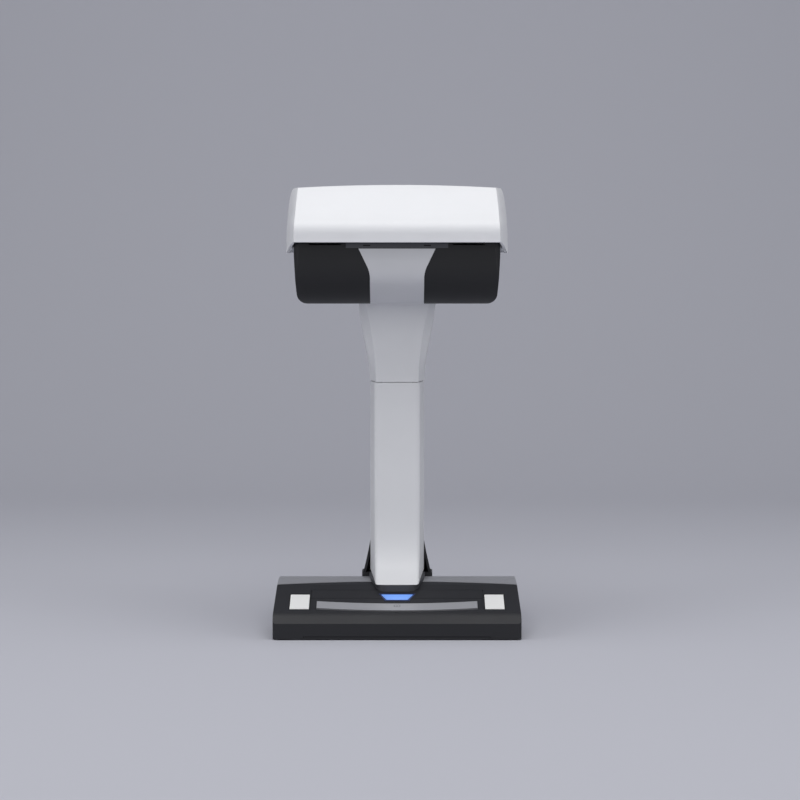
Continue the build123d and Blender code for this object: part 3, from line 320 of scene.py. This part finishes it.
# %% Give every CAD node its finish
FINISH = {
    "base_top_cover": base_abs, "control_panel": panel_film, "base_bottom_tray": base_abs,
    "base_rear_cover": grey_paint, "ballast_plate": zinc_sheet, "rubber_feet": rubber,
    "white_reference_left": pad_white, "white_reference_right": pad_white,
    "button_board": fr4, "button_switches": housing_pbt, "status_light_guide": rim_blue,
    "scan_button": silver_paint, "scan_button_plungers": acetal, "stop_button": lit_blue,
    "stop_button_plunger": acetal, "main_board": fr4, "main_board_parts": chip_epoxy,
    "dc_inlet": housing_pbt, "usb_socket": nickel_shell, "lock_slot_plate": zinc_sheet,
    "column_collar": collar_abs, "column_front_cover": white_abs,
    "neck_front_cover": white_abs, "column_rear_cover": base_abs,
    "column_spine": zinc_sheet, "head_harness": ribbon, "head_top_cover": white_abs,
    "head_rear_cover": black_abs, "head_frame": zinc_sheet, "left_pivot": ground_steel,
    "right_pivot": ground_steel, "relay_board": fr4, "fixed_gear": acetal,
    "reduction_gear": acetal, "motor_pinion": brass_gear, "scan_front_shell": black_abs,
    "scan_rear_shell": black_abs, "centre_fascia": shade_lifted_fascia_paint, "window_glass": acrylic,
    "optics_chassis": nylon, "lens_barrel": black_abs, "lens_glass": lens_coated,
    "sensor_board": fr4, "line_sensor": ceramic, "led_board": fr4,
    "lamp_lens": lamp_acrylic, "left_bush": bronze_bush, "right_bush": bronze_bush,
    "swing_motor": motor_can, "reduction_axle": ground_steel,
}
for name, obj in node.items():
    obj.data.materials.clear()
    obj.data.materials.append(FINISH.get(name, screw_steel))
print("CAD nodes with a finish:", len(node))

# %% [markdown]
# ## Building helpers
# Three functions make every extra piece. `keep` turns a bmesh into an object that rides
# on its body. `grown` runs a Geometry Nodes tree and keeps the result as a plain mesh.
# `drape` lays a thin slab on a CAD surface by casting rays at it, so that a moulded band
# or a print follows the curve beneath it exactly.


# %% Building helpers
def keep(name, mesh, material, body, smooth_deg=35.0):
    """Make an object from a bmesh and let it ride on a body."""
    bmesh.ops.recalc_face_normals(mesh, faces=mesh.faces)
    data = bpy.data.meshes.new(name)
    mesh.to_mesh(data)
    mesh.free()
    data.shade_smooth()
    data.set_sharp_from_angle(angle=math.radians(smooth_deg))
    data.materials.append(material)
    obj = bpy.data.objects.new(name, data)
    bpy.context.scene.collection.objects.link(obj)
    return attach(obj, body)


def input_sockets(tree, sockets):
    """Declare a Geometry Nodes tree's inputs and its one output."""
    tree.interface.new_socket("Geometry", in_out="OUTPUT", socket_type="NodeSocketGeometry")
    tree.interface.new_socket("Geometry", in_out="INPUT", socket_type="NodeSocketGeometry")
    for name, kind in sockets:
        tree.interface.new_socket(name, in_out="INPUT", socket_type="NodeSocket" + kind)


def grown(name, tree, body, values, points=()):
    """Run a tree on points and keep the result as one plain mesh on a body."""
    seed = bpy.data.meshes.new(name + "_points")
    seed.from_pydata([tuple(point) for point in points], [], [])
    obj = bpy.data.objects.new(name, seed)
    bpy.context.scene.collection.objects.link(obj)
    modifier = obj.modifiers.new("build", "NODES")
    modifier.node_group = tree
    for socket in tree.interface.items_tree:
        if socket.in_out == "INPUT" and socket.name in values:
            modifier[socket.identifier] = values[socket.name]
    bpy.context.view_layer.update()
    graph = bpy.context.evaluated_depsgraph_get()
    result = bpy.data.meshes.new_from_object(obj.evaluated_get(graph))
    obj.modifiers.remove(modifier)
    obj.data = result
    result.name = name
    print(name, "triangles:", sum(len(face.vertices) - 2 for face in result.polygons))
    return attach(obj, body)


RAYS = {"front": (0.0, 1.0, 0.0), "rear": (0.0, -1.0, 0.0), "top": (0.0, 0.0, -1.0),
        "bottom": (0.0, 0.0, 1.0)}


def drape(name, on, corner, size, facing, lift_mm, material, body, steps=(24, 6), sink_mm=0.2):
    """Thin closed slab over a rectangle of a CAD surface, raised by lift_mm."""
    source = node[on].data
    surface = BVHTree.FromPolygons([v.co for v in source.vertices],
                                   [tuple(p.vertices) for p in source.polygons])
    ray = Vector(RAYS[facing])
    across, along = steps
    mesh = bmesh.new()
    layers = []
    reach = 1.0                # over an opening the slab bridges at its last depth
    for offset in (-lift_mm * MM, sink_mm * MM):
        grid = []
        for row in range(along + 1):
            line = []
            for column in range(across + 1):
                a = corner[0] + size[0] * column / across
                b = corner[1] + size[1] * row / along
                start = Vector((a, b, -ray.z)) if ray.z else Vector((a, -ray.y, b))
                hit = surface.ray_cast(start, ray)[0]
                reach = (hit - start).dot(ray) if hit else reach
                line.append(mesh.verts.new(start + ray * (reach + offset)))
            grid.append(line)
        layers.append(grid)
    for grid in layers:
        for row in range(along):
            for column in range(across):
                mesh.faces.new((grid[row][column], grid[row][column + 1],
                                grid[row + 1][column + 1], grid[row + 1][column]))
    outer, inner = layers
    ring = [(0, c) for c in range(across)] + [(r, across) for r in range(along)]
    ring += [(along, c) for c in range(across, 0, -1)] + [(r, 0) for r in range(along, 0, -1)]
    for index, (r, c) in enumerate(ring):
        nr, nc = ring[(index + 1) % len(ring)]
        mesh.faces.new((outer[r][c], outer[nr][nc], inner[nr][nc], inner[r][c]))
    return keep(name, mesh, material, body)


# %% [markdown]
# ## Geometry Nodes trees
# Two trees make everything that repeats. `block_row` places blocks along a line: chip
# legs, contacts, ribs, louvres. `cross_screws` puts a screw with a tapered head, a cross
# recess cut by a boolean, and a shank on every point it is given.


# %% A row of blocks
def block_row_tree():
    """Blocks of one size, repeated by a step from a start."""
    tree = bpy.data.node_groups.new("block_row", "GeometryNodeTree")
    input_sockets(tree, [("Count", "Int"), ("Start", "Vector"), ("Step", "Vector"),
                         ("Block", "Vector"), ("Finish", "Material")])
    given = add(tree, "NodeGroupInput").outputs
    line = add(tree, "GeometryNodeMeshLine", Count=given["Count"], Offset=given["Step"])
    tree.links.new(given["Start"], line.inputs["Start Location"])
    cube = add(tree, "GeometryNodeMeshCube", Size=given["Block"])
    placed = add(tree, "GeometryNodeInstanceOnPoints",
                 Points=line.outputs["Mesh"], Instance=cube.outputs["Mesh"])
    real = add(tree, "GeometryNodeRealizeInstances", Geometry=placed.outputs["Instances"])
    done = add(tree, "GeometryNodeSetMaterial",
               Geometry=real.outputs["Geometry"], Material=given["Finish"])
    add(tree, "NodeGroupOutput", Geometry=done.outputs["Geometry"])
    return tree


BLOCK_ROW = block_row_tree()


def blocks(name, body, material, count, start_mm, step_mm, size_mm):
    """One row of blocks, all measures in millimetres."""
    return grown(name, BLOCK_ROW, body, {
        "Count": count, "Start": [v * MM for v in start_mm], "Step": [v * MM for v in step_mm],
        "Block": [v * MM for v in size_mm], "Finish": material,
    })


# %% Screws with a cross recess
HEAD_TAPER = 0.84           # radius of the head's top over its rim


def cross_screw_tree():
    """A screw on every point, its head towards +Z before the turn."""
    tree = bpy.data.node_groups.new("cross_screws", "GeometryNodeTree")
    input_sockets(tree, [("Head Radius", "Float"), ("Head Height", "Float"),
                         ("Shank Radius", "Float"), ("Length", "Float"),
                         ("Recess Width", "Float"), ("Recess Reach", "Float"),
                         ("Turn", "Vector"), ("Finish", "Material")])
    given = add(tree, "NodeGroupInput").outputs

    def combine(x, y, z):
        vector = add(tree, "ShaderNodeCombineXYZ")
        for name, source in (("X", x), ("Y", y), ("Z", z)):
            if source is not None:
                tree.links.new(source, vector.inputs[name])
        return vector.outputs["Vector"]

    def scaled(value, factor):
        product = add(tree, "ShaderNodeMath", {"operation": "MULTIPLY"})
        tree.links.new(value, product.inputs[0])
        product.inputs[1].default_value = factor
        return product.outputs["Value"]

    top_radius = scaled(given["Head Radius"], HEAD_TAPER)
    head = add(tree, "GeometryNodeMeshCone", {"Vertices": 32})
    tree.links.new(top_radius, head.inputs["Radius Top"])
    tree.links.new(given["Head Radius"], head.inputs["Radius Bottom"])
    tree.links.new(given["Head Height"], head.inputs["Depth"])
    lowered = add(tree, "GeometryNodeTransform", Geometry=head.outputs["Mesh"])
    tree.links.new(combine(None, None, scaled(given["Head Height"], -1.0)),
                   lowered.inputs["Translation"])
    cuts = []
    for wide, deep in (("Recess Reach", "Recess Width"), ("Recess Width", "Recess Reach")):
        size = combine(given[wide], given[deep], given["Head Height"])
        cuts.append(add(tree, "GeometryNodeMeshCube", Size=size))
    cross = add(tree, "GeometryNodeMeshBoolean", {"operation": "DIFFERENCE"})
    tree.links.new(lowered.outputs["Geometry"], cross.inputs["Mesh 1"])
    for cut in cuts:
        tree.links.new(cut.outputs["Mesh"], cross.inputs["Mesh 2"])
    shank = add(tree, "GeometryNodeMeshCylinder", {"Vertices": 20})
    tree.links.new(given["Shank Radius"], shank.inputs["Radius"])
    tree.links.new(given["Length"], shank.inputs["Depth"])
    sunk = add(tree, "GeometryNodeTransform", Geometry=shank.outputs["Mesh"])
    below = add(tree, "ShaderNodeMath", {"operation": "SUBTRACT"})
    tree.links.new(scaled(given["Length"], -0.5), below.inputs[0])
    tree.links.new(given["Head Height"], below.inputs[1])
    tree.links.new(combine(None, None, below.outputs["Value"]), sunk.inputs["Translation"])
    screw = add(tree, "GeometryNodeJoinGeometry")
    tree.links.new(cross.outputs["Mesh"], screw.inputs["Geometry"])
    tree.links.new(sunk.outputs["Geometry"], screw.inputs["Geometry"])
    placed = add(tree, "GeometryNodeInstanceOnPoints",
                 Points=given["Geometry"], Instance=screw.outputs["Geometry"])
    tree.links.new(given["Turn"], placed.inputs["Rotation"])
    real = add(tree, "GeometryNodeRealizeInstances", Geometry=placed.outputs["Instances"])
    done = add(tree, "GeometryNodeSetMaterial",
               Geometry=real.outputs["Geometry"], Material=given["Finish"])
    add(tree, "NodeGroupOutput", Geometry=done.outputs["Geometry"])
    return tree


CROSS_SCREWS = cross_screw_tree()
HEAD_SHARP_DEG = 30.0
CROSS_WIDTH = 0.26          # of the head's radius
CROSS_REACH = 1.15
AXES = {"down": (math.pi, 0.0, 0.0), "up": (0.0, 0.0, 0.0), "rear": (-math.pi / 2, 0.0, 0.0),
        "front": (math.pi / 2, 0.0, 0.0)}


def islands(name):
    """Low and high corner of every separate solid in a CAD node."""
    mesh = bmesh.new()
    mesh.from_mesh(node[name].data)
    bmesh.ops.remove_doubles(mesh, verts=mesh.verts, dist=1e-6)
    left = set(mesh.verts)
    found = []
    while left:
        group = [left.pop()]
        for vert in group:
            for edge in vert.link_edges:
                other = edge.other_vert(vert)
                if other in left:
                    left.remove(other)
                    group.append(other)
        found.append(tuple(Vector([pick(v.co[k] for v in group) for k in range(3)])
                           for pick in (min, max)))
    mesh.free()
    return found


def screws(cad_name, body, groups, head_mm, shank_mm):
    """Replace a CAD node of plain screws by screws with a cross recess."""
    for facing, spots in groups.items():
        points = []
        for low, high in spots:
            centre = (low + high) / 2
            face = {"rear": high.y, "front": low.y, "up": high.z, "down": low.z}[facing]
            flat = facing in ("rear", "front")
            points.append((centre.x, face if flat else centre.y, centre.z if flat else face))
            radius = (high.x - low.x) / 2
            length = high.y - low.y if flat else high.z - low.z
        made = grown(cad_name + "_" + facing, CROSS_SCREWS, body, {
            "Head Radius": radius, "Head Height": head_mm * MM, "Shank Radius": shank_mm * MM,
            "Length": length - head_mm * MM, "Recess Width": radius * CROSS_WIDTH,
            "Recess Reach": radius * CROSS_REACH, "Turn": AXES[facing], "Finish": screw_steel,
        }, points)
        made.data.shade_smooth()
        made.data.set_sharp_from_angle(angle=math.radians(HEAD_SHARP_DEG))
        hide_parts(cad_name)


# %% Fit the screws
screws("tray_screws", "stand", {"down": islands("tray_screws")}, 1.0, 1.3)
screws("column_screws", "stand", {"up": islands("column_screws")}, 1.8, 1.6)
screws("scan_unit_screws", "scan_unit", {"rear": islands("scan_unit_screws")}, 1.4, 1.3)
frame_spots = islands("frame_screws")
screws("frame_screws", "stand", {
    "rear": [spot for spot in frame_spots if abs(spot[0].x) < 30 * MM],
    "front": [spot for spot in frame_spots if abs(spot[0].x) > 30 * MM],
}, 1.2, 1.5)

# %% [markdown]
# ## The scan unit's brow
# Above the grey funnel a band closes the gap under the cap's lip. It is a thin strip raised on
# the black front shell, coloured slate as a painted highlight where the shell's facet catches
# the light, with two narrow sensor slots whose dark insides are painted shade. It is draped on
# the shell, so it turns with the unit and never lifts off its curve.


# %% Brow and its slots
def box_mm(name):
    """Low and high corner of a CAD node's box, in millimetres."""
    low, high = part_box(name)
    return low / MM, high / MM


BROW_HALF = 43.0 * MM
BROW_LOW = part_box("centre_fascia")[1].z + 0.5 * MM
BROW_TALL = 4.4 * MM
SLOT_WIDE, SLOT_TALL = 6.0 * MM, 0.9 * MM
# The band is raised on the black shell; its slate colour is a painted highlight.
drape("brow_band", "scan_front_shell", (-BROW_HALF, BROW_LOW), (2 * BROW_HALF, BROW_TALL),
      "front", 0.35, brow_painted_highlight, "scan_unit", (40, 4))
# The slots are dark slabs of painted shade laid on the shell, not openings.
for side, left in (("left", -28.5), ("right", 22.5)):
    drape("brow_slot_" + side, "scan_front_shell", (left * MM, BROW_LOW + 1.6 * MM),
          (SLOT_WIDE, SLOT_TALL), "front", 0.42, slot_shade_painted, "scan_unit", (8, 2))

# %% [markdown]
# ## Marks and labels
# The scan bar has a small printed mark: here a plain page outline in dark ink, since the
# real legend is left out. The tray's blank satin label stands for the rating plate.


# %% Page mark on the scan bar
bar_low, bar_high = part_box("scan_button")
bar_y = (bar_low.y + bar_high.y) / 2 - 1.6 * MM
STROKE = 0.35 * MM
MARK_W, MARK_D = 5.2 * MM, 3.6 * MM
strokes = [
    ("front", (-MARK_W / 2, bar_y - MARK_D / 2), (MARK_W, STROKE)),
    ("rear", (-MARK_W / 2, bar_y + MARK_D / 2 - STROKE), (MARK_W, STROKE)),
    ("left", (-MARK_W / 2, bar_y - MARK_D / 2), (STROKE, MARK_D)),
    ("right", (MARK_W / 2 - STROKE, bar_y - MARK_D / 2), (STROKE, MARK_D)),
    ("fold", (-STROKE / 2, bar_y - MARK_D / 2), (STROKE, MARK_D)),
]
for name, corner, size in strokes:
    drape("page_mark_" + name, "scan_button", corner, size, "top", 0.03, printed_ink,
          "scan_button", (4, 4), 0.05)
drape("blank_label", "base_bottom_tray", (-2 * MM, -26 * MM), (62 * MM, 26 * MM), "bottom",
      0.08, label_film, "stand", (6, 4), 0.05)

# %% [markdown]
# ## Rubber feet
# Pressed-in feet with two grooves in the sole, which let the soft rubber flatten on the
# desk. Each is turned from one profile and takes the place of the plain CAD foot.


# %% Feet turned from a profile
SOLE = [(0.0, 0.35), (1.6, 0.35), (1.9, 0.0), (3.2, 0.0), (3.5, 0.35), (4.5, 0.35),
        (4.8, 0.0), (6.1, 0.0), (6.6, 0.15), (6.9, 0.5), (7.0, 0.9), (7.0, 1.8), (0.0, 1.8)]


def turned(profile_mm, centres, name, material, body, sides=48):
    """Solids of revolution about Z, one at each centre."""
    mesh = bmesh.new()
    for centre in centres:
        rings = []
        for radius, height in profile_mm:
            if radius == 0.0:
                rings.append([mesh.verts.new((centre.x, centre.y, height * MM))])
                continue
            ring = []
            for step in range(sides):
                angle = 2 * math.pi * step / sides
                ring.append(mesh.verts.new((centre.x + radius * MM * math.cos(angle),
                                            centre.y + radius * MM * math.sin(angle),
                                            height * MM)))
            rings.append(ring)
        for lower, upper in zip(rings, rings[1:]):
            for step in range(sides):
                after = (step + 1) % sides
                if len(lower) == 1:
                    mesh.faces.new((lower[0], upper[after], upper[step]))
                elif len(upper) == 1:
                    mesh.faces.new((lower[step], lower[after], upper[0]))
                else:
                    mesh.faces.new((lower[step], lower[after], upper[after], upper[step]))
    return keep(name, mesh, material, body)


feet = turned(SOLE, [(low + high) / 2 for low, high in islands("rubber_feet")],
              "grooved_feet", rubber, "stand")
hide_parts("rubber_feet")

# %% [markdown]
# ## Ribs, louvres and clips
# The tray has stiffening ribs between the front feet, the head's rear housing a bank of
# louvres behind the sensor electronics, drawn as dark slabs of painted shade, and the ribbon
# is held to the spine by clips.

# %% Ribs, louvres and clips
tray_low = box_mm("base_bottom_tray")[0]
blocks("tray_ribs", "stand", base_abs, 15, (-70.0, -50.0, tray_low.z - 0.2),
       (10.0, 0.0, 0.0), (1.2, 26.0, 0.7))
rear_high = box_mm("head_rear_cover")[1]
# The louvres are dark slabs of painted shade laid on the rear cover, not openings.
for side, x in (("left", -48.0), ("right", 48.0)):
    blocks("louvres_" + side, "stand", slot_shade_painted, 5, (x, rear_high.y - 0.2, 306.0),
           (0.0, 0.0, 3.0), (40.0, 0.5, 1.1))
RIBBON_Y = 42.2            # middle of the ribbon and its clips, behind the spine
blocks("ribbon_clips", "stand", nylon, 5,
       (0.0, RIBBON_Y, 70.0), (0.0, 0.0, 55.0), (16.5, 1.5, 4.0))

# %% [markdown]
# ## Electronics
# The main board's packages get tinned legs, the sockets their contacts, the line sensor
# its two rows of pins and the lamp board its row of white emitters.


# %% Legs and contacts
def legs(name, low, high, count, body, sides="xy"):
    """Rows of legs along the sides of a flat package whose box is given in metres."""
    low, high = low / MM, high / MM
    z = low.z + 0.2
    if "x" in sides:
        pitch = (high.x - low.x) / count
        for tag, y in (("a", low.y - 0.4), ("b", high.y + 0.4)):
            blocks(name + "_x" + tag, body, tinned_leg, count, (low.x + pitch / 2, y, z),
                   (pitch, 0.0, 0.0), (pitch * 0.4, 0.9, 0.3))
    if "y" in sides:
        pitch = (high.y - low.y) / count
        for tag, x in (("a", low.x - 0.4), ("b", high.x + 0.4)):
            blocks(name + "_y" + tag, body, tinned_leg, count, (x, low.y + pitch / 2, z),
                   (0.0, pitch, 0.0), (0.9, pitch * 0.4, 0.3))


packages = sorted(islands("main_board_parts"), key=lambda c: (c[1] - c[0]).x * (c[1] - c[0]).y)
flat = [corners for corners in packages if (corners[1] - corners[0]).z < 2.5 * MM]
legs("processor_legs", *flat[-1], 16, "stand")
legs("driver_legs", *flat[0], 8, "stand", "y")
usb_low, usb_high = box_mm("usb_socket")
usb_x = (usb_low.x + usb_high.x) / 2
for tag, z in (("top", usb_low.z + 6.65), ("under", usb_low.z + 3.35)):
    blocks("usb_contacts_" + tag, "stand", gold_contact, 2, (usb_x - 1.25, usb_high.y - 5.5, z),
           (2.5, 0.0, 0.0), (1.0, 7.0, 0.12))
dc_low, dc_high = box_mm("dc_inlet")
blocks("dc_spring", "stand", tinned_leg, 1,
       ((dc_low.x + dc_high.x) / 2, dc_high.y - 5.0, (dc_low.z + dc_high.z) / 2 - 2.5),
       (0.0, 0.0, 0.0), (1.4, 7.0, 0.25))
sensor_low, sensor_high = box_mm("line_sensor")
for tag, y in (("front", sensor_low.y - 0.3), ("rear", sensor_high.y + 0.3)):
    blocks("sensor_pins_" + tag, "scan_unit", tinned_leg, 20,
           (sensor_low.x + 1.1, y, sensor_high.z - 0.4), (2.2, 0.0, 0.0), (0.6, 0.6, 0.8))
lamp_low, lamp_high = box_mm("led_board")
blocks("lamp_emitters", "scan_unit", ceramic, 9, (-13.6, lamp_high.y + 0.3, lamp_low.z + 4.0),
       (3.4, 0.0, 0.0), (1.8, 0.6, 1.4))
can_low, can_high = box_mm("swing_motor")
can_mid = (can_low + can_high) / 2
blocks("motor_tabs", "scan_unit", tinned_leg, 2, (can_low.x + 1.2, can_mid.y - 5.0, can_mid.z),
       (0.0, 10.0, 0.0), (2.0, 0.5, 2.2))

# %% [markdown]
# ## Studio
# A pale seamless sweep: floor, a wide curve and a wall. The wall is a little darker than
# the floor, so the white head stands out.


# %% Seamless sweep
def sweep():
    """Floor that curves up into a wall."""
    mesh = bmesh.new()
    profile = [(-3.0, 0.0), (0.9, 0.0)]
    radius = 0.9
    for step in range(1, 17):
        angle = math.radians(90 * step / 16)
        profile.append((0.9 + radius * math.sin(angle), radius * (1 - math.cos(angle))))
    profile.append((0.9 + radius, 4.0))
    rows = [[mesh.verts.new((x, y, z)) for y, z in profile] for x in (-4.0, 4.0)]
    for index in range(len(profile) - 1):
        mesh.faces.new((rows[0][index], rows[1][index], rows[1][index + 1], rows[0][index + 1]))
    data = bpy.data.meshes.new("seamless_paper")
    mesh.to_mesh(data)
    mesh.free()
    data.shade_smooth()
    obj = bpy.data.objects.new("seamless_paper", data)
    bpy.context.scene.collection.objects.link(obj)
    return obj


paper = sweep()
paper_material, _, paper_shader = new_material("pale seamless paper")
paper_shader.inputs["Base Color"].default_value = linear("#C0C1CA")
paper_shader.inputs["Roughness"].default_value = 0.85
paper.data.materials.append(paper_material)


# %% Lights
def softbox(name, place, aim, size, watts):
    """Square area light aimed at a point."""
    data = bpy.data.lights.new(name, "AREA")
    data.shape = "RECTANGLE"
    data.size, data.size_y = size
    data.energy = watts
    lamp = bpy.data.objects.new(name, data)
    lamp.location = place
    lamp.rotation_euler = (Vector(aim) - Vector(place)).to_track_quat("-Z", "Y").to_euler()
    bpy.context.scene.collection.objects.link(lamp)


softbox("overhead", (0.0, -0.5, 1.9), (0.0, 0.0, 0.2), (2.2, 1.4), 24.5)
softbox("front fill", (0.0, -2.6, 1.3), (0.0, 0.0, 0.25), (2.4, 1.6), 15.5)
softbox("left side", (-1.7, -0.7, 0.8), (0.0, 0.0, 0.25), (0.9, 1.4), 6.6)
softbox("right side", (1.7, -0.7, 0.8), (0.0, 0.0, 0.25), (0.9, 1.4), 5.8)

world = bpy.data.worlds.new("studio")
world.use_nodes = True
world.node_tree.nodes["Background"].inputs["Color"].default_value = linear("#C9CBD2")
world.node_tree.nodes["Background"].inputs["Strength"].default_value = 0.24
bpy.context.scene.world = world
bpy.context.scene.view_settings.view_transform = "Standard"
